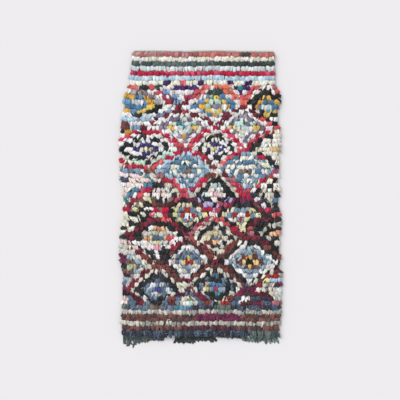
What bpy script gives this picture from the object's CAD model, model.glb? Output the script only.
"""A boucherouite rug: a shag of knotted rags, in a lattice of diamonds between striped ends.

The rug lies flat. X runs across it, +Y towards its plain upper end and Z up, in metres.
"""

import math

import bpy
import numpy as np
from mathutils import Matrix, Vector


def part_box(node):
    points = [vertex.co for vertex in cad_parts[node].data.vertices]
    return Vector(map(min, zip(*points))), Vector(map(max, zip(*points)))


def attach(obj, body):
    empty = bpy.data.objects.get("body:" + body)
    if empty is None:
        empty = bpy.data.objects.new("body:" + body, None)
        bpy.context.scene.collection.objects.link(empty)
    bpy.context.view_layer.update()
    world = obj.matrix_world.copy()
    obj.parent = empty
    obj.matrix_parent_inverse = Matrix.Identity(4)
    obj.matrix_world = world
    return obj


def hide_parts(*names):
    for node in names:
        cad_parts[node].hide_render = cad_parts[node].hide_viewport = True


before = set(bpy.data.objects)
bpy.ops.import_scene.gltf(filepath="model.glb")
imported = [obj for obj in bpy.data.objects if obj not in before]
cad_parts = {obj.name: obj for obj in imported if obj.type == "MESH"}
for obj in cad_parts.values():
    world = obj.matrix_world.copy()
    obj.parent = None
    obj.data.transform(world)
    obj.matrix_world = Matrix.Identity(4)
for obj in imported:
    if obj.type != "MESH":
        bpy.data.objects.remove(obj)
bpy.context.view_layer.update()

MM = 0.001
CM = 0.01

# The rug's sizes, as its CAD solids have them
PILE_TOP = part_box("pile")[1][2]
UPPER_END = 0.998
PILE_LENGTH = 1.948
KNOT_ROWS = 62
SIDE_INSET = 0.015  # the ground cloth's edge lies this far inside the rag ends
HEADING_DEPTH = 0.008
SEED = 62

# The rug's sides, with the rag ends that stick out.
# Distance from the upper end, left side's x, right side's x
SIDES = np.array((
    (0.000, -0.474, 0.513),
    (0.060, -0.484, 0.508),
    (0.140, -0.494, 0.513),
    (0.225, -0.496, 0.518),
    (0.280, -0.518, 0.537),
    (0.335, -0.536, 0.541),
    (0.405, -0.550, 0.541),
    (0.615, -0.558, 0.545),
    (0.950, -0.549, 0.543),
    (1.120, -0.546, 0.547),
    (1.450, -0.553, 0.551),
    (1.600, -0.549, 0.557),
    (1.948, -0.552, 0.543),
))

# The weaver beat the rows down more in some places than in others.
# Row, distance of its upper edge from the upper end
ROW_PLACES = np.array((
    (0.0, 0.000),
    (1.0, 0.026),
    (7.0, 0.223),
    (11.5, 0.372),
    (16.5, 0.513),
    (21.5, 0.660),
    (26.5, 0.811),
    (31.5, 0.974),
    (35.5, 1.113),
    (40.5, 1.268),
    (45.5, 1.432),
    (51.5, 1.620),
    (55.0, 1.726),
    (56.0, 1.757),
    (57.0, 1.785),
    (58.0, 1.807),
    (59.0, 1.833),
    (60.0, 1.865),
    (61.0, 1.899),
    (62.0, 1.941),
))

# The rags' colours, and the kinds of cloth that they were torn from.
# Name: colour, a second colour found with it, the second one's share, kinds of cloth
RAGS = {
    "white": ("f4f1f0", "e6dedb", 0.25, "jersey cotton"),
    "ice": ("ccd8da", "dfe8ea", 0.40, "cotton jersey"),
    "cream": ("f0efdc", "f6f0e8", 0.35, "cotton wool"),
    "mint": ("c6e4d6", "e8f2e4", 0.40, "cotton knit"),
    "pale_yellow": ("dcd39c", "e8dfc4", 0.45, "cotton knit"),
    "butter": ("ecd486", "e6c468", 0.40, "knit cotton"),
    "gold": ("e0ac44", "e8c45c", 0.30, "knit wool"),
    "tan": ("d8caa4", "cab084", 0.35, "wool cotton"),
    "peach": ("ecba8c", "e29c7c", 0.35, "cotton jersey"),
    "blush": ("efd8d2", "f6ece8", 0.35, "jersey cotton"),
    "pink": ("e89cb6", "f2cfd6", 0.35, "jersey knit"),
    "coral": ("d2525a", "e07470", 0.30, "knit wool"),
    "salmon": ("ee8468", "e06a5c", 0.30, "knit jersey"),
    "orange_red": ("d0482c", "c83028", 0.40, "wool knit"),
    "crimson": ("bc1840", "d04a66", 0.30, "wool jersey"),
    "rose": ("bc4464", "a8304e", 0.35, "wool knit"),
    "dusty_rose": ("b0707a", "b4565e", 0.40, "wool jersey"),
    "magenta": ("a82c66", "c04c84", 0.30, "wool knit"),
    "plum": ("6e1c48", "4c1434", 0.35, "wool knit"),
    "maroon": ("80243a", "601c2c", 0.35, "wool jersey"),
    "rust": ("7e3c36", "602f2e", 0.40, "wool knit"),
    "russet": ("784a44", "4e3436", 0.45, "wool knit"),
    "oatmeal": ("cac6bc", "9c9a94", 0.40, "wool cotton"),
    "brick": ("a82820", "8c1c1c", 0.35, "wool jersey"),
    "wine": ("5e2636", "48222c", 0.40, "wool knit"),
    "umber": ("6c5650", "84746c", 0.40, "wool denim"),
    "mauve": ("7c6c84", "94889c", 0.40, "wool knit"),
    "lilac": ("b8b0e0", "d4d0ee", 0.35, "jersey cotton"),
    "purple": ("461c6a", "33184e", 0.40, "knit wool"),
    "indigo": ("2e2a70", "3c3c8a", 0.35, "knit denim"),
    "navy": ("222a3a", "40546c", 0.45, "denim knit"),
    "denim": ("55809f", "86a6bc", 0.45, "denim cotton"),
    "blue": ("4a7ca6", "6c98b8", 0.40, "denim knit"),
    "cornflower": ("6596c4", "86b0d4", 0.40, "denim cotton"),
    "light_blue": ("b2d0e4", "cfe2ec", 0.40, "cotton denim"),
    "slate": ("5a7088", "71809a", 0.40, "denim wool"),
    "blue_grey": ("7c94aa", "9aaebe", 0.45, "denim cotton"),
    "teal": ("2c8088", "529ca4", 0.40, "knit denim"),
    "dark_teal": ("1f3c3e", "2c4c4c", 0.40, "knit denim"),
    "charcoal": ("626e6c", "424e52", 0.45, "jersey wool"),
    "sage": ("70867e", "4c605c", 0.45, "wool knit"),
    "undyed": ("c9c0a8", "b8ad92", 0.40, "wool cotton"),
    "black": ("15171b", "22262c", 0.35, "jersey knit"),
    "grey": ("8a8488", "a8a4a6", 0.40, "wool jersey"),
    "charcoal_green": ("38433f", "2c3636", 0.45, "wool knit"),
    "ecru": ("dedacc", "c8c4b8", 0.40, "wool cotton"),
    "faded_rose": ("b88684", "a45e62", 0.45, "wool cotton"),
    "faded_salmon": ("c87c76", "b86864", 0.45, "wool cotton"),
    "pale_sage": ("d4d6cc", "bcc4b8", 0.45, "wool cotton"),
    "olive": ("c6caa0", "d4ceae", 0.40, "cotton wool"),
}
RAG_NAMES = tuple(RAGS)

# The striped ends, row by row. From row, to row, to this x in cm from the middle line, rag
STRIPES = (
    (0, 0, -30, "faded_rose"),
    (0, 0, -18, "dusty_rose"),
    (0, 0, -2, "faded_rose"),
    (0, 0, 26, "faded_salmon"),
    (0, 0, 33, "russet"),
    (0, 0, 60, "faded_salmon"),
    (1, 1, 60, "cream"),
    (2, 2, 8, "charcoal"),
    (2, 2, 60, "charcoal_green"),
    (3, 3, 60, "ice"),
    (4, 4, 60, "crimson"),
    (5, 5, 60, "light_blue"),
    (6, 6, 60, "cream"),
    (55, 55, -50, "charcoal"),
    (55, 55, -36, "slate"),
    (55, 55, -28, "umber"),
    (55, 55, -18, "slate"),
    (55, 55, -14, "teal"),
    (55, 55, -8, "blue"),
    (55, 55, 10, "navy"),
    (55, 55, 20, "charcoal"),
    (55, 55, 60, "navy"),
    (56, 56, 60, "oatmeal"),
    (57, 58, -4, "russet"),
    (57, 58, 27, "plum"),
    (57, 58, 60, "russet"),
    (59, 59, 60, "oatmeal"),
    (60, 60, -12, "russet"),
    (60, 60, 22, "wine"),
    (60, 60, 60, "russet"),
    (61, 61, 32, "navy"),
    (61, 61, 60, "charcoal"),
)
UPPER_STRIPES_END = 7
LOWER_STRIPES_START = 55

# The diamonds. Centre's x in cm from the middle line, its row, and the rags of its rings from the centre to
# the lattice. Where a ring has two names, the first is above the centre's row and the second below it
PATTERN_STEP = 4.85  # cm across for each ring
KNOT_REACH = 8.0  # cm, and no knot is wider than this
STRIPE_KNOT = 2.3  # cm, a knot of the striped ends, where rags of several shades are mixed
DIAMONDS = (
    (-11.6, 5, "white white"),
    (27.0, 5, "white white"),
    (-43.5, 10, "ice blue gold grey/black white"),
    (10.5, 11, "mauve mint gold blue white"),
    (45.1, 11, "ice blue gold black white"),
    (-54.0, 15.5, "rust white white"),
    (-10.9, 16, "ice white mint mauve white"),
    (29.2, 16, "ice white mint mauve white"),
    (-36.9, 21, "pale_yellow indigo white black white/mint"),
    (9.6, 21, "pale_yellow indigo cream black white"),
    (50.5, 21, "tan cream cream cream"),
    (-50.0, 29, "blush blush blush cream"),
    (-10.2, 26, "umber denim cream denim light_blue"),
    (29.7, 26, "umber cream denim cream denim"),
    (56.0, 29, "black cream black cream"),
    (-26.4, 31, "blush white white black ecru/umber"),
    (9.6, 31, "pink blush white black black ecru/lilac"),
    (46.5, 31, "ecru black ecru black white"),
    (-56.0, 37, "ecru ecru black"),
    (-8.7, 35, "brick brick blue_grey pale_yellow black"),
    (27.5, 35, "brick brick blue_grey pale_yellow black"),
    (-29.4, 40, "slate butter ecru ecru white black black"),
    (10.2, 40, "slate tan ecru black ecru"),
    (50.0, 39, "peach black ecru black"),
    (-47.8, 46, "olive umber blue_grey ecru"),
    (-8.5, 45, "brick butter blue_grey slate ecru white black"),
    (33.1, 45, "black butter rust blue_grey blue_grey white black"),
    (-29.7, 51, "indigo slate ice slate black/slate black ecru"),
    (10.7, 51, "rose blue slate black slate/black black ecru"),
    (52.0, 51, "ice ecru oatmeal ecru"),
    (-56.0, 54, "blush slate slate"),
    (-9.0, 54, "mint ecru slate"),
    (33.0, 54, "black white navy"),
)

# The lattice between the diamonds. Rag, then the places that its line goes through: x in cm, row
LINE_REACH = 0.54  # in rings, to each side of a line
LINE_STEPS = 8  # points that are measured from, between two places of a line
LEAST_WAY = 0.1  # rings, the least way to the lattice that is counted
LEAN_RATE = 2  # how fast the lean turns over at a diamond's centre
LATTICE = (
    ("coral", (-48, 7), (-40, 6), (-35, 7), (-29.5, 8)),
    ("rose", (-26, 9), (-21.5, 10)),
    ("maroon", (-18, 10), (-14.5, 11)),
    ("coral", (-12, 12)),
    ("rose", (-8, 9), (-4, 9)),
    ("maroon", (-10, 10), (-14.5, 11)),
    ("coral", (-1, 8), (5, 7), (9, 6)),
    ("coral", (-3, 9), (2, 8)),
    ("salmon", (9, 6), (15, 7), (19, 8), (22, 9)),
    ("salmon", (12, 7), (18, 8)),
    ("coral", (24, 9), (25, 9)),
    ("salmon", (28, 10), (31, 10)),
    ("coral", (31.5, 9), (35, 8), (39, 7), (45, 6)),
    ("dusty_rose", (50, 7)),
    ("salmon", (52, 8)),
    ("maroon", (-11, 12), (-18, 12), (-22.5, 13), (-31.5, 14), (-34, 15), (-38.5, 16), (-42, 17)),
    ("maroon", (-11, 12), (-6, 13), (1, 14), (7, 15), (10.5, 16), (15, 15), (17, 14), (20, 13), (25, 12)),
    ("maroon", (25, 12), (29, 11), (33.5, 12), (37, 13)),
    ("coral", (41, 14), (46, 15), (52, 16)),
    ("crimson", (-55, 19), (-47.5, 18), (-43, 17)),
    ("crimson", (-36, 17), (-31, 17), (-26, 18), (-20, 19)),
    ("coral", (-17, 20), (-14, 20)),
    ("rose", (-14, 21), (-9, 21)),
    ("coral", (-6, 20)),
    ("crimson", (-2.5, 19), (0.5, 18), (5, 17), (10.5, 16), (15, 17), (19.5, 18), (22, 19)),
    ("coral", (25.5, 20)),
    ("crimson", (28, 21), (31, 21), (35, 20), (38, 19), (41, 18), (46, 17), (52, 16)),
    ("black", (34.5, 21), (39.5, 22), (44, 23), (48, 24), (52, 25)),
    ("crimson", (31, 21), (25, 22)),
    ("coral", (21, 23), (17, 24)),
    ("blush", (13, 25), (11, 26)),
    ("crimson", (-9, 21), (-4, 22), (1, 23)),
    ("rust", (5, 24), (8, 25)),
    ("crimson", (-12, 21), (-15, 22), (-21, 23)),
    ("coral", (-26, 24), (-31, 25)),
    ("crimson", (-54, 24), (-49, 25), (-40, 25)),
    ("rust", (-37, 26), (-34, 26)),
    ("dusty_rose", (-29, 27)),
    ("crimson", (-24, 28), (-21, 28)),
    ("coral", (-18, 29), (-14.5, 30), (-10.5, 31)),
    ("rose", (-5, 30)),
    ("crimson", (0, 29), (2.5, 28)),
    ("rust", (7, 27)),
    ("maroon", (15, 27)),
    ("dusty_rose", (19, 28)),
    ("crimson", (22, 29), (25, 30), (28, 31), (31, 31)),
    ("coral", (34, 30), (38.5, 29)),
    ("crimson", (43.5, 28)),
    ("orange_red", (48, 27)),
    ("magenta", (52, 26)),
    ("crimson", (-35.5, 30), (-38, 30)),
    ("coral", (-41, 31)),
    ("rose", (-45, 32)),
    ("maroon", (-48, 33)),
    ("crimson", (-53, 34), (-51, 34)),
    ("crimson", (-12, 31), (-15.5, 32)),
    ("maroon", (-20.5, 33)),
    ("crimson", (-24, 34), (-25, 35), (-33, 35), (-34, 34)),
    ("rust", (-29, 33), (-34, 33)),
    ("plum", (-6, 32)),
    ("rust", (-1, 33)),
    ("crimson", (4, 34), (6, 34)),
    ("blush", (8.5, 35)),
    ("rose", (12, 34), (16, 33)),
    ("maroon", (20, 33)),
    ("plum", (25, 32), (33, 32)),
    ("maroon", (37.5, 33), (41, 34)),
    ("crimson", (45, 34), (48, 34)),
    ("coral", (51, 35), (53, 35)),
    ("maroon", (45, 36), (41, 36), (38, 37)),
    ("maroon", (-29, 36), (-34, 36), (-38, 37), (-42, 38), (-47, 39), (-47, 40)),
    ("coral", (-24, 36)),
    ("maroon", (-19.5, 37), (-15, 38), (-11, 39)),
    ("rose", (6, 36), (1, 37)),
    ("dusty_rose", (-2.5, 38), (-6, 39), (-8, 40)),
    ("coral", (12, 36), (16.5, 37)),
    ("crimson", (21.5, 38)),
    ("maroon", (22, 39), (25, 39)),
    ("dusty_rose", (36, 38), (33, 39)),
    ("rust", (28, 40), (24.5, 41), (21.5, 42), (19, 43), (15, 44)),
    ("maroon", (33, 40), (37, 40), (42, 41)),
    ("rust", (45, 42), (49, 43), (53, 44)),
    ("rust", (-8, 40), (-5, 41)),
    ("maroon", (-13, 41)),
    ("crimson", (-16.5, 42)),
    ("rust", (-20, 43), (-24, 44), (-28, 45), (-32, 46)),
    ("maroon", (-1, 42)),
    ("rust", (3.5, 43), (6.5, 44)),
    ("maroon", (10, 45)),
    ("blush", (-52, 41), (-47, 42)),
    ("maroon", (-43, 43)),
    ("rust", (-40, 44), (-35, 45), (-32, 46), (-26, 46), (-23, 47), (-21, 48), (-17, 49)),
    ("maroon", (-35, 47), (-39, 48), (-43, 49), (-47, 50), (-51, 51)),
    ("maroon", (-13, 49), (-10, 50), (-6, 49)),
    ("rust", (-1.5, 48), (3, 47), (6, 46)),
    ("rust", (14, 46), (17, 47), (20.5, 48), (25, 49), (29, 50)),
    ("plum", (29, 51), (35, 51)),
    ("rust", (53, 47), (47, 48), (43, 49)),
    ("maroon", (39.5, 50)),
    ("plum", (-54, 51), (-51, 51)),
    ("maroon", (-48, 52), (-45, 53), (-41, 54)),
    ("plum", (-14, 52), (-9, 51), (-4, 52)),
    ("rust", (-19, 53), (-21, 54)),
    ("maroon", (0, 53)),
    ("rust", (4, 54)),
    ("maroon", (26.5, 52)),
    ("rust", (21, 53)),
    ("brick", (17, 54)),
    ("maroon", (35, 52), (43, 52)),
    ("plum", (46, 53), (49, 54)),
)

# Single knots, and short runs of them, where the weaver took another rag
SINGLE_KNOTS = (
    ("black", (-40, 7)),
    ("dark_teal", (-30.5, 7)),
    ("cornflower", (-24.5, 8), (-19.5, 9), (-16, 10)),
    ("purple", (-24, 6), (-18, 7), (-13, 7)),
    ("purple", (-8, 7), (-4, 7), (0.5, 6)),
    ("coral", (-12, 6)),
    ("purple", (19.5, 6), (23, 7), (27, 8), (31, 7), (32.5, 6)),
    ("teal", (27, 7)),
    ("dark_teal", (9, 8), (12, 8)),
    ("black", (45, 8), (40, 9), (36, 10)),
    ("black", (51, 9)),
    ("black", (40, 13)),
    ("gold", (45, 13)),
    ("black", (51, 13)),
    ("black", (46, 14)),
    ("white", (52, 14)),
    ("black", (52, 15)),
    ("black", (-33, 12), (-31, 12)),
    ("black", (-46, 13), (-38, 13)),
    ("blue_grey", (-20, 12)),
    ("slate", (-27.5, 13)),
    ("rust", (-53, 15), (-51, 16)),
    ("light_blue", (-54, 14), (-49, 14)),
    ("blue_grey", (-43, 14), (-38, 14)),
    ("ice", (-37, 13), (-32, 13)),
    ("blue", (-44.5, 16)),
    ("gold", (-48.5, 17)),
    ("black", (-54, 17)),
    ("gold", (-20.5, 16)),
    ("butter", (-4, 16)),
    ("gold", (-12, 18)),
    ("teal", (-13, 15)),
    ("slate", (30, 15)),
    ("butter", (20.5, 16)),
    ("pale_yellow", (25, 17)),
    ("gold", (38, 16)),
    ("black", (47, 18), (42, 19), (38.5, 20)),
    ("crimson", (39, 23)),
    ("denim", (-54, 26), (-46, 26), (-39, 27), (-34, 28), (-36, 29), (-43, 30), (-47, 31)),
    ("navy", (-53, 28)),
    ("teal", (-52, 32)),
    ("mint", (10.5, 29)),
    ("navy", (36.5, 31), (42, 32)),
    ("denim", (51.5, 32)),
    ("black", (46, 33), (51, 34)),
    ("blush", (46.5, 30)),
    ("blue_grey", (-47.5, 34)),
    ("pale_yellow", (-55, 35), (-44, 34), (-38, 32)),
    ("black", (-47, 35), (-38, 33)),
    ("cream", (-54, 37), (-45, 36), (-37, 34)),
    ("black", (-55, 38), (-45, 37), (-37, 35)),
    ("cream", (-55, 39), (-46, 38)),
    ("white", (-8.7, 35)),
    ("white", (27.5, 35)),
    ("cream", (-29, 35)),
    ("white", (-20, 39), (-14.5, 40)),
    ("coral", (-20.5, 40)),
    ("peach", (-37, 40)),
    ("peach", (-28.5, 38)),
    ("pink", (-30, 42)),
    ("white", (-45, 41), (-38, 42)),
    ("white", (-22, 42), (-19, 41)),
    ("black", (-36, 43), (-33, 44)),
    ("black", (-26, 44), (-22, 43)),
    ("white", (-29.4, 44)),
    ("slate", (-13, 44), (-8, 43), (-4, 44)),
    ("cream", (20, 36)),
    ("pale_yellow", (28, 38)),
    ("rust", (4, 41)),
    ("peach", (9.5, 41)),
    ("plum", (-52, 44), (-52, 45)),
    ("black", (-52.5, 46)),
    ("plum", (-51.5, 48)),
    ("blue_grey", (-53, 49)),
    ("blush", (-30, 47)),
    ("navy", (-29, 48)),
    ("umber", (-27, 52)),
    ("black", (-26, 53)),
    ("black", (-53, 52)),
    ("blush", (-54, 53), (-53, 54)),
    ("tan", (6, 50), (4.5, 51)),
    ("blue", (10, 50)),
    ("blue_grey", (14.5, 51)),
    ("teal", (11, 52)),
    ("brick", (50, 48)),
    ("butter", (47, 49)),
    ("light_blue", (51, 49)),
    ("plum", (53, 50)),
    ("maroon", (29.5, 54)),
    ("maroon", (37, 54), (39, 54)),
    ("dusty_rose", (52, 54)),
    ("slate", (24, 54)),
)

# A rag end from its root to its tip: share of its reach, of its rise and of its width
RAG_END = np.array((
    (0.00, 0.00, 0.50),
    (0.10, 0.52, 0.76),
    (0.32, 0.92, 0.97),
    (0.58, 1.00, 1.00),
    (0.82, 0.90, 1.00),
    (1.00, 0.64, 0.96),
))
# The back of a knot, where the rag goes round the warps under the cloth
KNOT_BACK = np.array((
    (0.00, 0.00, 0.70),
    (0.50, 1.00, 1.00),
    (1.00, 0.00, 0.70),
))
# A strip's section, once round: share of the half width, side of the cloth's middle
RING = np.array((
    (-1.00, 0.5),
    (-0.50, 1.0),
    (0.50, 1.0),
    (1.00, 0.5),
    (1.00, -0.5),
    (0.50, -1.0),
    (-0.50, -1.0),
    (-1.00, -0.5),
))
CAP_QUADS = np.array(((0, 1, 6, 7), (1, 2, 5, 6), (2, 3, 4, 5)))

# How the rags of one colour differ
KNOT_FADE = 0.10  # in brightness, from knot to knot
END_FADE = 0.08  # and from one rag end to the next
KNOT_TINT = 0.03  # in red, green and blue, from knot to knot
DARKEST = 0.004
LIGHTEST = 0.93

# The pile
RAGS_ACROSS = 96  # rag ends in a row
EXTRA_AT_RIM = 3  # more of them at each side, which hide the ground cloth's edge
RIM_SHARE = 0.02  # and lie within this share of the rug's width
ROOT_SCATTER = 0.3  # in distances between two rag ends
ROW_SCATTER = (-2 * MM, 4 * MM)
ROOT_INSET = 4 * MM  # the outermost roots lie this far inside the ground cloth's edge
RAG_ROOT = 4.2 * MM
ROOT_RISE = 3.0 * MM
RAG_THICKNESS = 2.0 * MM
CURL_NARROWS = 0.3  # share of its width that a strip loses when it is curled
CRUMPLE = 1.2 * MM  # how far a rag end is creased out of its plain shape
PRESSED_FROM = 24 * MM  # above this the pile is pressed down under its own weight
PRESSED_TO = 31 * MM  # and nothing stands higher
FLOOR_GAP = 0.4 * MM

# A rag end's measures, in metres and radians, or in shares. Mean, spread, least, most
REACH = (0.0440, 0.0050, 0.032, 0.058)
RISE = (0.0195, 0.0022, 0.014, 0.0235)
DROOP = (0.08, 0.14, -0.15, 0.4)
WIDTH = (0.0210, 0.0040, 0.013, 0.032)
CURL = (0.12, 0.12, -0.10, 0.4)

# How unevenly the rags lie, in radians
WILD_ENDS = (0.40, 0.75)  # share of it in the upper and the lower stripes
DIAGONAL_LEAN = 0.60  # how far the rags of a diamond lean along its edges
KNOT_LEAN = 0.13
END_LEAN = 0.12
STRAY_SHARE = 0.04  # share of the rag ends that point another way
STRAY_LEAN = 0.8
STRAY_RIM = 0.3  # and none does where the rim's share is higher than this
BEND = 0.35
ROLL = 0.28
TWIST = 0.45
SLANT = 0.50  # in half widths: how slantwise a tip is torn off
LAST_ROW_REACH = 1.15  # in reaches of the other rows

# How the rag ends at the rug's sides differ from the others
RIM_WIDTH = 0.014  # the change falls off over this distance
RIM_TURN = 0.50  # outwards, in radians
RIM_BEND = 0.2  # outwards, in radians
RIM_SHORTER = 0.42  # share of the reach
RIM_LOWER = 0.40  # share of the rise
RIM_DROOP = 0.55

# The ground cloth and its heading
CLOTH_TOP = 3.6 * MM
CLOTH_UNDERSIDE = 1.5 * MM
CLOTH_SHORTER = 4 * MM  # it ends this far inside the last row of knots
CLOTH_COLUMNS = 30
WEFT_RIB = 0.35 * MM
WEFT_PITCH = 6 * MM
DARK_WEFTS = 70 * MM  # depth of the dark rag wefts at the lower end
PALE_WEFTS = 1 * MM  # the heading's pale wefts go this far below the first row
WARP_PITCH = 14 * MM
HEADING_WEFTS = 2
HEADING_STEPS = 300
HEADING_PLACE = 3.2 * MM  # beyond the first row's upper edge
HEADING_PITCH = 3.6 * MM

# The back of a knot, under the cloth
KNOTS_ACROSS = RAGS_ACROSS // 2  # each knot has two rag ends
BACK_BELOW = 6 * MM  # from its row's upper edge
BACK_LENGTH = 19 * MM
BACK_WIDTH = 9 * MM

# An end web
WEB_START = 3.7 * MM  # it starts this far inside the pile
WEB_ROWS = 8
WEB_COLUMN = 5 * MM  # width of a column of its surface
WEB_RIB = 0.4 * MM
WEB_TOP = 3.0 * MM
WEB_UNDERSIDE = 0.9 * MM
LOCK_SHARE = 0.4  # the web is deeper by this share of a lock's length
ENDS_IN_LOCK = 3
STEP_RATE = 12  # how sharply a web's long locks give way to its short ones

# A strip's square in the atlas: its wall below, and its two ends above it
CELL_MARGIN = 0.04
WALL_SIZE = (0.92, 0.80)
END_SIZE = (0.44, 0.07)
ENDS_FROM = 0.89
TIP_FROM = 0.52
# The square's size on the cloth, in widths of the strip across and in reaches of the strip along
WIDTHS_ACROSS = 2.2
REACHES_ALONG = 1.3

# A sheet's two skins and its rim in the atlas: corner, size
UPPER_FROM = (0.02, 0.04)
LOWER_FROM = (0.52, 0.04)
SKIN_SIZE = (0.46, 0.90)
RIM_FROM = (0.02, 0.96)
RIM_SIZE = (0.96, 0.02)
RIM_ON_CLOTH = 4 * MM

# What is left of the woven web at the lower end.
# Name, left x, right x, number of locks, strip's depth, a lock's length at the left and at the right, rag
END_WEBS = (
    ("end_web_left", -0.535, -0.252, 15, 0.017, 0.044, 0.018, 0.38, "charcoal"),
    ("end_web_middle", -0.180, 0.100, 14, 0.020, 0.022, 0.015, 0.5, "charcoal_green"),
    ("end_web_wisps", 0.109, 0.319, 8, 0.006, 0.008, 0.032, 0.85, "charcoal"),
    ("end_web_right", 0.332, 0.522, 11, 0.016, 0.020, 0.024, 0.5, "sage"),
)


def linear(value):
    """sRGB hex digits as a linear colour."""
    channels = np.array([int(value[i:i + 2], 16) / 255 for i in (0, 2, 4)])
    return np.where(channels <= 0.04045, channels / 12.92, ((channels + 0.055) / 1.055) ** 2.4)


def side_at(distance, column):
    """A side's x at a distance from the upper end: column 1 of SIDES is the left side, 2 the right."""
    return np.interp(distance, SIDES[:, 0], SIDES[:, column])


def end_wave(x):
    """How far the rows wander along y: the sum of two sines of x and a slight slope."""
    return 0.0022 * np.sin(7.1 * x + 0.6) + 0.0014 * np.sin(17.0 * x) - 0.004 * x


def row_place(row):
    """The distance of a row's upper edge from the rug's upper end."""
    return np.interp(row, ROW_PLACES[:, 0], ROW_PLACES[:, 1])


def rag_number(name):
    """A rag's place in RAGS."""
    return RAG_NAMES.index(name)


def striped(number, x, row):
    """Puts the stripes into the chart: the first line of STRIPES that a knot fits gives its rag."""
    for first, last, right, name in reversed(STRIPES):
        inside = (row >= first) & (row <= last) & (x <= right)
        number = np.where(inside, rag_number(name), number)
    return number


def line_distance(x, row, places):
    """How far each knot lies from a line, in rings: the steps across plus the rows along."""
    steps = np.linspace(0, len(places) - 1, LINE_STEPS * (len(places) - 1) + 1)
    line_x = np.interp(steps, np.arange(len(places)), places[:, 0])
    line_row = np.interp(steps, np.arange(len(places)), places[:, 1])
    across = np.abs(x[:, None] - line_x) / PATTERN_STEP
    return (across + np.abs(row[:, None] - line_row)).min(axis=1)


def chart(x, row):
    """The rag at x, in cm from the middle line, in a row, the number of its knot, and the way that it leans.

    A place's way from the nearest diamond's centre is the steps across plus the rows along, and its way to
    the lattice is counted alike. The diamond's rings share out the two ways evenly, so the ring's number is
    rings * way from centre / (way from centre + way to lattice). On the lattice its own line gives the rag.
    The stripes and the single knots come over all.
    What lies in one row, in one ring of a diamond and on one side of its centre is one knot. A rag leans
    along the diamond's edge, by the tanh of twice the steps across times that of twice the rows along.
    """
    centres = np.array([(a, b) for a, b, _ in DIAMONDS])
    far = np.abs(x[:, None] - centres[:, 0]) / PATTERN_STEP + np.abs(row[:, None] - centres[:, 1])
    diamond = far.argmin(axis=1)
    below = row > centres[diamond, 1]
    right = x > centres[diamond, 0]
    lattice = np.array([line_distance(x, row, np.array(places, float)) for _, *places in LATTICE])
    line = lattice.argmin(axis=0)
    off_line = lattice.min(axis=0) - LINE_REACH
    way = far.min(axis=1)
    share = way / (way + np.maximum(off_line, LEAST_WAY))
    ring = np.zeros(len(x), int)
    number = np.zeros(len(x), int)
    for i, (_, _, rags) in enumerate(DIAMONDS):
        table = np.array([[rag_number(name.split("/")[half]) for half in (0, -1)] for name in rags.split()])
        here = np.floor(len(table) * share).astype(int)
        ring = np.where(diamond == i, here, ring)
        number = np.where(diamond == i, table[np.minimum(here, len(table) - 1), below.astype(int)], number)
    lines = np.array([rag_number(name) for name, *_ in LATTICE])
    number = np.where(off_line < 0, lines[line], number)
    line = np.where(off_line < 0, line + 1, 0)
    number = striped(number, x, row)
    for i, (name, *places) in enumerate(SINGLE_KNOTS):
        on_line = line_distance(x, row, np.array(places, float)) < LINE_REACH
        number = np.where(on_line, rag_number(name), number)
        line = np.where(on_line, -1 - i, line)
    reach = np.where((row < UPPER_STRIPES_END) | (row >= LOWER_STRIPES_START), STRIPE_KNOT, KNOT_REACH)
    signs = np.column_stack((row, diamond, ring, line, right, number, np.floor(x / reach)))
    knot = np.unique(signs, axis=0, return_inverse=True)[1].ravel()
    sideways = np.tanh(LEAN_RATE * (x - centres[diamond, 0]) / PATTERN_STEP)
    return number, knot, sideways * np.tanh(LEAN_RATE * (centres[diamond, 1] - row))


def rag_looks(number, chance, knot=None):
    """A linear colour and a kind of cloth for each rag: its own or its partner's colour, a little faded.

    The rag ends of one knot are alike, but for a slight change of shade.
    """
    own = np.array([linear(RAGS[name][0]) for name in RAG_NAMES])
    partner = np.array([linear(RAGS[name][1]) for name in RAG_NAMES])
    share = np.array([RAGS[name][2] for name in RAG_NAMES])
    count = len(number)
    knot = np.arange(count) if knot is None else knot
    knots = knot.max() + 1
    mixed = np.where((chance.random(knots)[knot] < share[number])[:, None], partner[number], own[number])
    fade = chance.normal(1.0, KNOT_FADE, knots)[knot] + chance.normal(0, END_FADE, count)
    tint = chance.normal(1.0, KNOT_TINT, (knots, 3))[knot]
    colour = np.clip(mixed * fade[:, None] * tint, DARKEST, LIGHTEST)
    kinds = [RAGS[name][3].split() for name in RAG_NAMES]
    picks = chance.random(knots)[knot]
    kind = np.array([kinds[n][int(p * len(kinds[n]))] for n, p in zip(number, picks)])
    return colour, kind


def one_rag(name, count, chance):
    """Colours for a number of strips that are all torn from one kind of rag."""
    return rag_looks(np.full(count, rag_number(name)), chance)[0]


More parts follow.
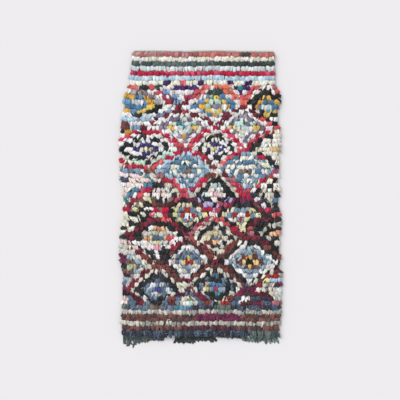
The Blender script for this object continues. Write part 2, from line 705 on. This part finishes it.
def strips(shape, stations):
    """Many strips of cloth at once: an array of points, (strip, station, ring point, xyz).

    The middle of a strip leaves its root along its heading, which turns by its bend, and it rises and
    falls as the stations say, less a droop that grows with the cube of the share. Each ring point stands
    off the middle across the strip by its share of the half width. Along the cloth's normal it stands off
    by half the thickness, and by the curl, which is a parabola with its top in the strip's middle.
    """
    share = stations[:, 0]
    turn = shape["heading"][:, None] + shape["bend"][:, None] * share
    chord = shape["heading"][:, None] + 0.5 * shape["bend"][:, None] * share
    out = shape["reach"][:, None] * share
    rise = shape["rise"][:, None] * (stations[:, 1] - shape["droop"][:, None] * share ** 3)
    middle = np.stack((
        shape["x"][:, None] + out * np.cos(chord),
        shape["y"][:, None] + out * np.sin(chord),
        shape["z"][:, None] + rise,
    ), axis=-1)
    tangent = np.gradient(middle, axis=1)
    tangent /= np.linalg.norm(tangent, axis=-1, keepdims=True)
    side = np.stack((-np.sin(turn), np.cos(turn), np.zeros_like(turn)), axis=-1)
    normal = np.cross(tangent, side)
    normal /= np.linalg.norm(normal, axis=-1, keepdims=True)
    roll = (shape["roll"][:, None] + shape["twist"][:, None] * share)[..., None]
    across = side * np.cos(roll) + normal * np.sin(roll)
    upward = normal * np.cos(roll) - side * np.sin(roll)

    half = 0.5 * shape["width"][:, None] * stations[:, 2]
    half = half[:, :, None, None]
    curl = shape["curl"][:, None, None, None]
    place, face = RING[:, 0][:, None], RING[:, 1][:, None]
    sideways = half * (1 - CURL_NARROWS * np.abs(curl)) * place
    lift = half * curl * (1 - place ** 2) + 0.5 * shape["thickness"][:, None, None, None] * face
    points = middle[:, :, None] + across[:, :, None] * sideways + upward[:, :, None] * lift
    slant = shape["slant"][:, None, None] * half[:, -1] * place
    points[:, -1] += tangent[:, -1][:, None] * slant
    return points


def crumpled(points, chance):
    """Creases strips of cloth: each pair of points, on the two faces of the cloth, moves up or down alike."""
    pair = np.minimum(np.arange(len(RING)), len(RING) - 1 - np.arange(len(RING)))
    creases = chance.normal(0, CRUMPLE, points.shape[:2] + (len(RING) // 2,))
    creases[:, 0] = 0
    sway = chance.normal(0, CRUMPLE, points.shape[:2] + (1,))
    points[..., 2] += creases[..., pair]
    points[..., 0] += sway
    return points


def settled(points):
    """Lifts each ring that would lie in the floor, and presses the high points down along a tanh curve."""
    room = PRESSED_TO - PRESSED_FROM
    z = points[..., 2]
    z = z + np.maximum(FLOOR_GAP - z.min(axis=-1, keepdims=True), 0)
    points[..., 2] = np.where(z > PRESSED_FROM, PRESSED_FROM + room * np.tanh((z - PRESSED_FROM) / room), z)
    return points


def strip_faces(count, levels):
    """Quads round every strip from station to station, and three quads on each end."""
    around = len(RING)
    i, j = np.meshgrid(np.arange(levels - 1), np.arange(around), indexing="ij")
    k = (j + 1) % around
    wall = np.stack((i * around + j, (i + 1) * around + j, (i + 1) * around + k, i * around + k), axis=-1)
    one = np.concatenate((wall.reshape(-1, 4), CAP_QUADS, CAP_QUADS[:, ::-1] + (levels - 1) * around))
    return (np.arange(count)[:, None, None] * levels * around + one).reshape(-1, 4)


def strip_places(levels):
    """Each corner's place on a strip's own square: round the ring and along the strip, and the ends above."""
    around = len(RING)
    i, j = np.meshgrid(np.arange(levels - 1), np.arange(around), indexing="ij")
    u = np.stack((j, j, j + 1, j + 1), axis=-1).reshape(-1, 4) / around
    v = np.stack((i, i + 1, i + 1, i), axis=-1).reshape(-1, 4) / (levels - 1)
    wall = np.stack((CELL_MARGIN + WALL_SIZE[0] * u, CELL_MARGIN + WALL_SIZE[1] * v), axis=-1)
    quads = len(CAP_QUADS)
    corner_u = np.arange(quads)[:, None] / quads + np.array((0, 1, 1, 0)) / quads
    corner_v = np.broadcast_to(np.array((1, 1, 0, 0)), (quads, 4))
    up = ENDS_FROM + END_SIZE[1] * corner_v
    root = np.stack((CELL_MARGIN + END_SIZE[0] * corner_u, up), axis=-1)
    tip = np.stack((TIP_FROM + END_SIZE[0] * corner_u, up), axis=-1)[:, ::-1]
    return np.concatenate((wall, root, tip))


def strip_patch(shape, stations, colour, chance, creased=True):
    """A patch of strips, with their colours, their places in the atlas and their cloth's own measure."""
    count, levels = len(colour), len(stations)
    points = strips(shape, stations)
    if creased:
        points = crumpled(points, chance)
    points = settled(points)
    place = strip_places(levels)
    grid = math.ceil(math.sqrt(count))
    cell = np.stack((np.arange(count) % grid, np.arange(count) // grid), axis=-1)
    atlas = (cell[:, None, None] + place) / grid
    size = np.stack((WIDTHS_ACROSS * shape["width"], REACHES_ALONG * shape["reach"]), axis=-1)
    weave = place * size[:, None, None] + chance.random((count, 1, 1, 2))
    along = np.broadcast_to(stations[:, 0][None, :, None], points.shape[:3])
    return {
        "points": points.reshape(-1, 3),
        "faces": strip_faces(count, levels),
        "atlas": atlas.reshape(-1, 2),
        "weave": weave.reshape(-1, 2),
        "colour": np.repeat(colour, levels * len(RING), axis=0),
        "from_root": along.reshape(-1),
    }


def sheet_patch(top, bottom, colour, size):
    """A closed sheet from two grids of points, (row, column, xyz): both skins, and a rim that joins them."""
    rows, columns = top.shape[:2]
    i, j = np.meshgrid(np.arange(rows - 1), np.arange(columns - 1), indexing="ij")
    a = i * columns + j
    skin = np.stack((a, a + 1, a + columns + 1, a + columns), axis=-1).reshape(-1, 4)
    ring = np.concatenate((
        np.arange(columns - 1),
        np.arange(rows - 1) * columns + columns - 1,
        (rows - 1) * columns + np.arange(columns - 1, 0, -1),
        np.arange(rows - 1, 0, -1) * columns,
    ))
    after = np.roll(ring, -1)
    count = rows * columns
    rim = np.stack((after, ring, ring + count, after + count), axis=-1)
    v, u = np.meshgrid(np.linspace(0, 1, rows), np.linspace(0, 1, columns), indexing="ij")
    flat = np.stack((u, v), axis=-1).reshape(-1, 2)
    upper, lower = flat[skin], flat[skin[:, ::-1]]
    step = np.arange(len(ring)) / len(ring)
    band = np.stack((
        np.stack((step + 1 / len(ring), step, step, step + 1 / len(ring)), axis=-1),
        np.broadcast_to(np.array((1.0, 1.0, 0.0, 0.0)), (len(ring), 4)),
    ), axis=-1)
    atlas = np.concatenate((
        UPPER_FROM + upper * SKIN_SIZE,
        LOWER_FROM + lower * SKIN_SIZE,
        RIM_FROM + band * RIM_SIZE,
    ))
    weave = np.concatenate((upper * size, lower * size, flat[ring][:, None] * size + band * RIM_ON_CLOTH))
    return {
        "points": np.concatenate((top.reshape(-1, 3), bottom.reshape(-1, 3))),
        "faces": np.concatenate((skin, skin[:, ::-1] + count, rim)),
        "atlas": atlas.reshape(-1, 2),
        "weave": weave.reshape(-1, 2),
        "colour": np.tile(colour.reshape(-1, 3), (2, 1)),
        "from_root": np.ones(2 * count),
    }


def make_piece(name, patches, material, atlas_cells=1):
    """Joins patches into one mesh. Several patches share the atlas side by side."""
    start = np.cumsum([0] + [len(patch["points"]) for patch in patches])
    points = np.concatenate([patch["points"] for patch in patches])
    faces = np.concatenate([patch["faces"] + shift for patch, shift in zip(patches, start)])
    atlas = np.concatenate([
        patch["atlas"] / (atlas_cells, 1) + (i / atlas_cells, 0) for i, patch in enumerate(patches)
    ])
    colour = np.concatenate([patch["colour"] for patch in patches])
    mesh = bpy.data.meshes.new(name)
    mesh.vertices.add(len(points))
    mesh.vertices.foreach_set("co", points.astype(np.float32).ravel())
    mesh.loops.add(faces.size)
    mesh.loops.foreach_set("vertex_index", faces.astype(np.int32).ravel())
    mesh.polygons.add(len(faces))
    mesh.polygons.foreach_set("loop_start", np.arange(0, faces.size, 4, dtype=np.int32))
    mesh.polygons.foreach_set("use_smooth", np.ones(len(faces), dtype=bool))
    mesh.update(calc_edges=True)
    for title, places in (("OFBake", atlas), ("weave", np.concatenate([p["weave"] for p in patches]))):
        layer = mesh.uv_layers.new(name=title)
        layer.uv.foreach_set("vector", places.astype(np.float32).ravel())
    dye = mesh.attributes.new("rag_colour", "FLOAT_COLOR", "POINT")
    dye.data.foreach_set("color", np.column_stack((colour, np.ones(len(colour)))).astype(np.float32).ravel())
    root = mesh.attributes.new("from_root", "FLOAT", "POINT")
    root.data.foreach_set("value", np.concatenate([p["from_root"] for p in patches]).astype(np.float32))
    mesh.materials.append(material)
    piece = bpy.data.objects.new(name, mesh)
    bpy.context.scene.collection.objects.link(piece)
    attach(piece, "root")
    return piece


def add_node(tree, kind, inputs=None, **settings):
    """Adds a node: settings are its properties, and each input gets a value or a link from a socket."""
    node = tree.nodes.new(kind)
    for name, value in settings.items():
        setattr(node, name, value)
    for socket, value in (inputs or {}).items():
        if isinstance(value, bpy.types.NodeSocket):
            tree.links.new(value, node.inputs[socket])
        else:
            node.inputs[socket].default_value = value
    return node


SHEEN_ROUGHNESS = 0.45


def new_material(name, roughness, sheen, specular):
    """A material with the constants of its surface set on the shader."""
    material = bpy.data.materials.new(name)
    material.use_nodes = True
    tree = material.node_tree
    shader = tree.nodes["Principled BSDF"]
    shader.inputs["Roughness"].default_value = roughness
    shader.inputs["Sheen Weight"].default_value = sheen
    shader.inputs["Sheen Roughness"].default_value = SHEEN_ROUGHNESS
    shader.inputs["Specular IOR Level"].default_value = specular
    return material, tree, shader


# Cloths of the pile. Kind: material's name, roughness, sheen, specular, courses and wales of its knit or
# weave in mm, how deep they are in mm, how much the dye has faded in patches, and the share of pale threads
CLOTHS = {
    # Old shirts of machine-knitted jersey: fine ribs and a soft, even light, with hardly a pale thread
    "jersey": ("worn_cotton_jersey", 0.86, 0.25, 0.35, 2.6, 5.0, 0.35, 0.30, 0.04),
    # Sheets and dresses, plain-woven and washed thin: flat and matt, with undyed threads that show in places
    "cotton": ("washed_plain_woven_cotton", 0.82, 0.15, 0.40, 3.0, 3.0, 0.25, 0.26, 0.20),
    # Blankets, woven and felted: the most matt, with a bright fuzz where the light grazes them
    "wool": ("felted_wool_blanket", 0.95, 0.55, 0.20, 3.2, 6.0, 0.30, 0.34, 0.10),
    # Trousers of indigo-dyed twill: strong faded patches and many pale flecks
    "denim": ("faded_cotton_twill", 0.88, 0.20, 0.30, 2.4, 2.4, 0.30, 0.42, 0.38),
    # Jumpers, knitted of acrylic yarn: the deepest ribs, with a slight shine along them
    "knit": ("acrylic_rib_knit", 0.72, 0.35, 0.45, 3.6, 7.0, 0.50, 0.28, 0.06),
}
FUZZ_SCALE = 420.0  # loose fibres, 2.4 mm apart
FLECK_SCALE = 150.0  # pale threads that show in flecks, 7 mm apart
FADED_SCALE = 70.0  # faded patches, 14 mm apart
PALE_THREAD = (0.80, 0.78, 0.74, 1.0)
SOILED_UP_TO = 0.34  # share of a rag end that is darker, deep in the pile
SOILED = 0.55  # brightness left at its root
BUMP_STRENGTH = 0.8
BANDS = 20  # Blender's wave texture has this many radians to a unit


def rag_material(kind):
    """Torn cloth: dyed by its own attribute, faded in patches, threads across and along, dark at the root."""
    name, roughness, sheen, specular, course, wale, depth, fading, pale = CLOTHS[kind]
    material, tree, shader = new_material(name, roughness, sheen, specular)
    dye = add_node(tree, "ShaderNodeAttribute", attribute_name="rag_colour")
    root = add_node(tree, "ShaderNodeAttribute", attribute_name="from_root")
    where = add_node(tree, "ShaderNodeUVMap", uv_map="weave").outputs[0]

    def wave(pitch, distortion, direction):
        scale = math.tau / (BANDS * pitch * MM)
        inputs = {"Vector": where, "Scale": scale, "Distortion": distortion, "Detail": 1.0}
        return add_node(tree, "ShaderNodeTexWave", inputs, bands_direction=direction).outputs["Fac"]

    def noise(scale, detail):
        inputs = {"Vector": where, "Scale": scale, "Detail": detail}
        return add_node(tree, "ShaderNodeTexNoise", inputs).outputs["Fac"]

    def combined(operation, first, second):
        return add_node(tree, "ShaderNodeMath", {0: first, 1: second}, operation=operation).outputs[0]

    def mapped(value, low, high, to_low, to_high):
        inputs = {"Value": value, "From Min": low, "From Max": high, "To Min": to_low, "To Max": to_high}
        return add_node(tree, "ShaderNodeMapRange", inputs).outputs[0]

    # Courses run across the strip and wales along it, three times as coarse as real ones so that they show
    threads = combined("ADD", wave(course, 1.5, "Y"), wave(wale, 1.0, "X"))
    height = combined("ADD", threads, noise(FUZZ_SCALE, 3.0))
    relief = {"Height": height, "Distance": depth * MM, "Strength": BUMP_STRENGTH}
    bump = add_node(tree, "ShaderNodeBump", relief)
    faded = mapped(noise(FADED_SCALE, 3.0), 0.3, 0.7, 1 - fading, 1 + 0.4 * fading)
    soiled = mapped(root.outputs["Fac"], 0.0, SOILED_UP_TO, SOILED, 1.0)
    thin = mapped(threads, 0.2, 1.2, 0.90, 1.04)
    tone = combined("MULTIPLY", combined("MULTIPLY", faded, soiled), thin)
    dyed = {0: dye.outputs["Color"], "Scale": tone}
    shade = add_node(tree, "ShaderNodeVectorMath", dyed, operation="SCALE")
    bare = mapped(noise(FLECK_SCALE, 2.0), 0.56, 0.70, 0.0, pale)
    layers = {"Factor": bare, 6: shade.outputs[0], 7: PALE_THREAD}
    colour = add_node(tree, "ShaderNodeMix", layers, data_type="RGBA")
    tree.links.new(colour.outputs[2], shader.inputs["Base Color"])
    tree.links.new(bump.outputs["Normal"], shader.inputs["Normal"])
    return material


def pile_roots(chance):
    """Where the rag ends are knotted: x, row and distance from the upper end of each."""
    share = (np.arange(RAGS_ACROSS) + 0.5) / RAGS_ACROSS
    rim = (np.arange(EXTRA_AT_RIM) + 0.5) / EXTRA_AT_RIM * RIM_SHARE
    share = np.concatenate((share, rim, 1 - rim))
    row = np.repeat(np.arange(KNOT_ROWS), len(share)).astype(float)
    share = np.tile(share, KNOT_ROWS) + chance.normal(0, ROOT_SCATTER / RAGS_ACROSS, len(row))
    distance = row_place(row) + chance.uniform(*ROW_SCATTER, len(row))
    left = side_at(distance, 1) + SIDE_INSET + ROOT_INSET
    right = side_at(distance, 2) - SIDE_INSET - ROOT_INSET
    x = left + np.clip(share, 0, 1) * (right - left)
    return x, row, distance


def drawn(measure, count, chance):
    """Random values of a measure, held between its least and its most."""
    mean, spread, least, most = measure
    return np.clip(chance.normal(mean, spread, count), least, most)


def pile_shape(x, row, distance, knot, side, chance):
    """The rag ends lie over towards -Y, each knot its own way, and at the sides they lean out and down.

    In the striped ends they lie more evenly than between them. The rim's share falls off from the sides
    inwards as exp(-distance / RIM_WIDTH).
    """
    count = len(x)
    knots = knot.max() + 1
    upper, lower = row < UPPER_STRIPES_END, row >= LOWER_STRIPES_START
    wild = np.where(upper, WILD_ENDS[0], np.where(lower, WILD_ENDS[1], 1.0))
    left, right = side_at(distance, 1), side_at(distance, 2)
    edge = np.minimum(x - left, right - x) - SIDE_INSET
    out = np.where(x > (left + right) / 2, 1.0, -1.0)
    rim = np.exp(-np.maximum(edge, 0) / RIM_WIDTH)
    stray = (chance.random(count) < STRAY_SHARE) & (rim < STRAY_RIM)
    lean = chance.normal(0, KNOT_LEAN, knots)[knot] + chance.normal(0, END_LEAN, count)
    lean += side * np.where((row < UPPER_STRIPES_END - 1) | lower, 0.0, DIAGONAL_LEAN)
    heading = -math.pi / 2 + wild * (lean + stray * chance.normal(0, STRAY_LEAN, count))
    heading += out * rim * RIM_TURN
    reach = drawn(REACH, count, chance) * (1 - RIM_SHORTER * rim)
    reach *= np.where(row == KNOT_ROWS - 1, LAST_ROW_REACH, 1.0)
    rise = drawn(RISE, count, chance) * (1 - RIM_LOWER * rim)
    return {
        "x": x,
        "y": UPPER_END - distance + end_wave(x),
        "z": RAG_ROOT + chance.uniform(0, ROOT_RISE, knots)[knot] * (1 - rim),
        "heading": heading,
        "bend": chance.normal(0, BEND, count) + out * rim * RIM_BEND,
        "reach": reach,
        "rise": rise,
        "droop": drawn(DROOP, count, chance) + rim * RIM_DROOP,
        "width": drawn(WIDTH, count, chance),
        "curl": drawn(CURL, count, chance),
        "roll": wild * chance.normal(0, ROLL, count),
        "twist": wild * chance.normal(0, TWIST, count),
        "slant": chance.normal(0, SLANT, count),
        "thickness": np.full(count, RAG_THICKNESS),
    }


def pile(chance):
    """The shag, as one piece for each kind of cloth."""
    x, row, distance = pile_roots(chance)
    number, knot, side = chart(x / CM, row)
    shape = pile_shape(x, row, distance, knot, side, chance)
    colour, kind = rag_looks(number, chance, knot)
    pieces = []
    for name in CLOTHS:
        mine = kind == name
        part = {key: values[mine] for key, values in shape.items()}
        patch = strip_patch(part, RAG_END, colour[mine], chance)
        pieces.append(make_piece("pile_" + name, [patch], rag_material(name)))
    return pieces


def cloth_place(across, distance):
    """A point of the ground cloth: across goes from 0 at its left edge to 1 at its right."""
    left = side_at(distance, 1) + SIDE_INSET
    right = side_at(distance, 2) - SIDE_INSET
    x = left + across * (right - left)
    return x, UPPER_END - distance + end_wave(x)


def ground_cloth(chance):
    """The woven ground cloth, with its heading beyond the first row of knots.

    Both skins are the rug's outline at one height, and every second weft stands WEFT_RIB above or below it.
    """
    length = PILE_LENGTH + HEADING_DEPTH
    rows = round(length / WEFT_PITCH)
    along = np.linspace(PILE_LENGTH - CLOTH_SHORTER, -HEADING_DEPTH, rows)[:, None]
    across = np.linspace(0, 1, CLOTH_COLUMNS)[None, :]
    x, y = cloth_place(across, along)
    rib = WEFT_RIB * np.cos(math.pi * np.arange(rows))[:, None] * np.ones(CLOTH_COLUMNS)
    top = np.stack((x, y, CLOTH_TOP + rib), axis=-1)
    bottom = np.stack((x, y, CLOTH_UNDERSIDE + rib), axis=-1)
    plain = one_rag("undyed", rows, chance)
    head = one_rag("pale_sage", rows, chance)
    dark = one_rag("charcoal", rows, chance)
    colour = np.where(along > PILE_LENGTH - DARK_WEFTS, dark, plain)
    colour = np.where(along < PALE_WEFTS, head, colour)
    colour = colour[:, None] * np.ones((1, CLOTH_COLUMNS, 1))
    width = side_at(along[:, 0], 2) - side_at(along[:, 0], 1) - 2 * SIDE_INSET
    patch = sheet_patch(top, bottom, colour, (width.max(), length))
    piece = make_piece("ground_cloth", [patch], rag_material("cotton"))
    area = width.mean() * np.ptp(along)
    return piece, (float(width.max()), float(np.ptp(along))), float(area)


def plain_shape(count, **given):
    """The values of strips that lie flat and straight, but for those that are given."""
    names = ("x", "y", "z", "heading", "bend", "reach", "rise", "droop", "width", "curl", "roll", "twist",
             "slant", "thickness")
    return {name: np.broadcast_to(np.asarray(given.get(name, 0.0), float), (count,)) for name in names}


def knot_backs(chance):
    """The backs of the knots, in rows under the cloth: each rag shows where it goes round its two warps."""
    row = np.repeat(np.arange(KNOT_ROWS), KNOTS_ACROSS).astype(float)
    share = np.tile((np.arange(KNOTS_ACROSS) + 0.5) / KNOTS_ACROSS, KNOT_ROWS)
    count = len(row)
    x, y = cloth_place(share, row_place(row) + BACK_BELOW)
    shape = plain_shape(
        count,
        x=x - 0.5 * BACK_LENGTH,
        y=y + chance.normal(0, 0.8 * MM, count),
        z=CLOTH_UNDERSIDE + 0.2 * MM,
        heading=chance.normal(0, 0.06, count),
        reach=BACK_LENGTH,
        rise=-0.9 * MM,
        width=chance.normal(BACK_WIDTH, 1 * MM, count),
        curl=-0.12,
        thickness=1.2 * MM,
    )
    colour = rag_looks(chart(x / CM, row)[0], chance)[0]
    patch = strip_patch(shape, KNOT_BACK, colour, chance, creased=False)
    return make_piece("knot_backs", [patch], rag_material("jersey"))


def heading_wefts(chance):
    """The last rag wefts of the heading. Each goes over and under the warps along a sine of x."""
    share = np.linspace(0, 1, HEADING_STEPS)
    left, right = cloth_place(0.0, 0.0)[0], cloth_place(1.0, 0.0)[0]
    waves = (right - left) / WARP_PITCH
    stations = np.column_stack((share, np.sin(math.pi * waves * share), np.ones(HEADING_STEPS)))
    order = np.arange(HEADING_WEFTS)
    shape = plain_shape(
        HEADING_WEFTS,
        x=left,
        y=UPPER_END + HEADING_PLACE + HEADING_PITCH * order,
        z=CLOTH_TOP + 1.2 * MM,
        reach=right - left,
        rise=0.5 * MM * (-1.0) ** order,
        width=4.2 * MM,
        curl=0.35,
        thickness=1.8 * MM,
    )
    colour = one_rag("pale_sage", HEADING_WEFTS, chance)
    patch = strip_patch(shape, stations, colour, chance, creased=False)
    patch["points"][:, 1] += end_wave(patch["points"][:, 0])
    return make_piece("heading_wefts", [patch], rag_material("wool"))


def step_up(share, place):
    """A smooth step from 0 to 1 at a place: half of 1 + tanh(STEP_RATE * (share - place))."""
    return 0.5 + 0.5 * np.tanh(STEP_RATE * (share - place))


def end_web(row, chance):
    """A remnant of the woven web: a ribbed strip with a ragged edge, and the torn locks beyond it.

    The edge wanders by a sine of the place across, and each of its points is a little off that.
    """
    name, left, right, locks, depth, left_length, right_length, step, rag = row
    columns = round((right - left) / WEB_COLUMN)
    across = np.linspace(0, 1, columns)[None, :]
    length = left_length + step_up(across, step) * (right_length - left_length)
    wander = 1 + 0.15 * np.sin(9.0 * across + left * 40) + chance.normal(0, 0.12, (1, columns))
    fray = (depth + LOCK_SHARE * length) * wander
    down = np.linspace(1, 0, WEB_ROWS)[:, None]
    x = left + across * (right - left) + 0 * down
    y = UPPER_END - PILE_LENGTH + WEB_START + end_wave(x) - fray * down
    rib = WEB_RIB * np.cos(math.pi * np.arange(WEB_ROWS))[:, None] * np.ones(columns)
    top = np.stack((x, y, WEB_TOP + rib), axis=-1)
    bottom = np.stack((x, y, WEB_UNDERSIDE + rib), axis=-1)
    colour = one_rag(rag, WEB_ROWS * columns, chance)
    web = sheet_patch(top, bottom, colour, (right - left, depth))

    count = ENDS_IN_LOCK * locks
    share = (np.arange(count) + 0.5) / count + chance.normal(0, 0.2 / count, count)
    x = left + np.clip(share, 0.02, 0.98) * (right - left)
    length = left_length + step_up(share, step) * (right_length - left_length)
    length = length * chance.uniform(0.5, 1.15, count)
    edge = np.interp(share, across[0], fray[0])
    shape = plain_shape(
        count,
        x=x,
        y=UPPER_END - PILE_LENGTH + WEB_START + end_wave(x) - 0.6 * edge,
        z=2.0 * MM,
        heading=-math.pi / 2 + chance.normal(0.1, 0.22, count),
        bend=chance.normal(0, 0.5, count),
        reach=length + LOCK_SHARE * edge,
        rise=0.8 * MM,
        droop=1.6,
        curl=0.03,
        width=chance.uniform(0.4, 1.0, count) * (right - left) / locks,
        slant=chance.normal(0, 0.5, count),
        roll=chance.normal(0, 0.05, count),
        thickness=1.6 * MM,
    )
    colour = one_rag(rag, count, chance)
    torn = strip_patch(shape, RAG_END, colour, chance, creased=False)
    return make_piece("frayed_" + name, [web, torn], rag_material("wool"), atlas_cells=2)


FLOOR_HALF = 14.0
FLOOR_HEIGHT = -0.0005  # just under the rug
FLOOR_COLOUR = (0.80, 0.785, 0.795, 1.0)


def stage_floor():
    """A plain pale floor, wide enough for every view."""
    mesh = bpy.data.meshes.new("floor")
    signs = ((-1, -1), (1, -1), (1, 1), (-1, 1))
    corners = [(x * FLOOR_HALF, y * FLOOR_HALF, FLOOR_HEIGHT) for x, y in signs]
    mesh.from_pydata(corners, [], [(0, 1, 2, 3)])
    floor = bpy.data.objects.new("floor", mesh)
    bpy.context.scene.collection.objects.link(floor)
    # Matt floor paint, rolled on: it takes the soft shadow and mirrors nothing
    material, tree, shader = new_material("painted_floor", 0.9, 0.0, 0.1)
    shader.inputs["Base Color"].default_value = FLOOR_COLOUR
    mesh.materials.append(material)


SUN_ENERGY = 2.05
SUN_WIDTH = math.radians(45)
SUN_TURN = (math.radians(55), 0, math.radians(222))
SUN_COLOUR = (1.0, 0.985, 0.965)
SURROUND_COLOUR = (0.97, 0.98, 1.0, 1.0)
SURROUND_STRENGTH = 0.72


def stage_light():
    """Soft daylight from the upper left, and an even pale surround."""
    sun = bpy.data.lights.new("key", "SUN")
    sun.energy = SUN_ENERGY
    sun.angle = SUN_WIDTH
    sun.color = SUN_COLOUR
    lamp = bpy.data.objects.new("key", sun)
    lamp.rotation_euler = SUN_TURN
    bpy.context.scene.collection.objects.link(lamp)
    world = bpy.data.worlds.new("surround")
    world.use_nodes = True
    back = world.node_tree.nodes["Background"]
    back.inputs["Color"].default_value = SURROUND_COLOUR
    back.inputs["Strength"].default_value = SURROUND_STRENGTH
    bpy.context.scene.world = world


PHOTO_SIZE = 400  # pixels along a side
METRES_PER_PIXEL = 0.00683
MIDDLE_LINE_PIXEL = 201
UPPER_END_PIXEL = 51.3
LENS = 100  # mm
SENSOR = 36  # mm
CLIP_END = 100


def camera():
    """Straight above the rug, with the whole photograph's width in the frame."""
    lens = bpy.data.cameras.new("camera")
    lens.lens = LENS
    lens.sensor_width = SENSOR
    lens.clip_end = CLIP_END
    width = PHOTO_SIZE * METRES_PER_PIXEL
    eye = bpy.data.objects.new("camera", lens)
    eye.location = (
        (PHOTO_SIZE / 2 - MIDDLE_LINE_PIXEL) * METRES_PER_PIXEL,
        UPPER_END - (PHOTO_SIZE / 2 - UPPER_END_PIXEL) * METRES_PER_PIXEL,
        PILE_TOP + width * LENS / SENSOR,
    )
    bpy.context.scene.collection.objects.link(eye)
    bpy.context.scene.camera = eye


def build():
    """Makes every piece and tells the frame what each one stands for."""
    chance = np.random.default_rng(SEED)
    camera()
    stage_floor()
    stage_light()
    bpy.context.scene.view_settings.view_transform = "Standard"
    rags = pile(chance)
    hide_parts("pile")
    rags.append(knot_backs(chance))
    ground, flat, area = ground_cloth(chance)
    heading = heading_wefts(chance)
    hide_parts("ground_weave")
    webs = [end_web(row, chance) for row in END_WEBS]
    for piece, row in zip(webs, END_WEBS):
        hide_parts(row[0])


build()
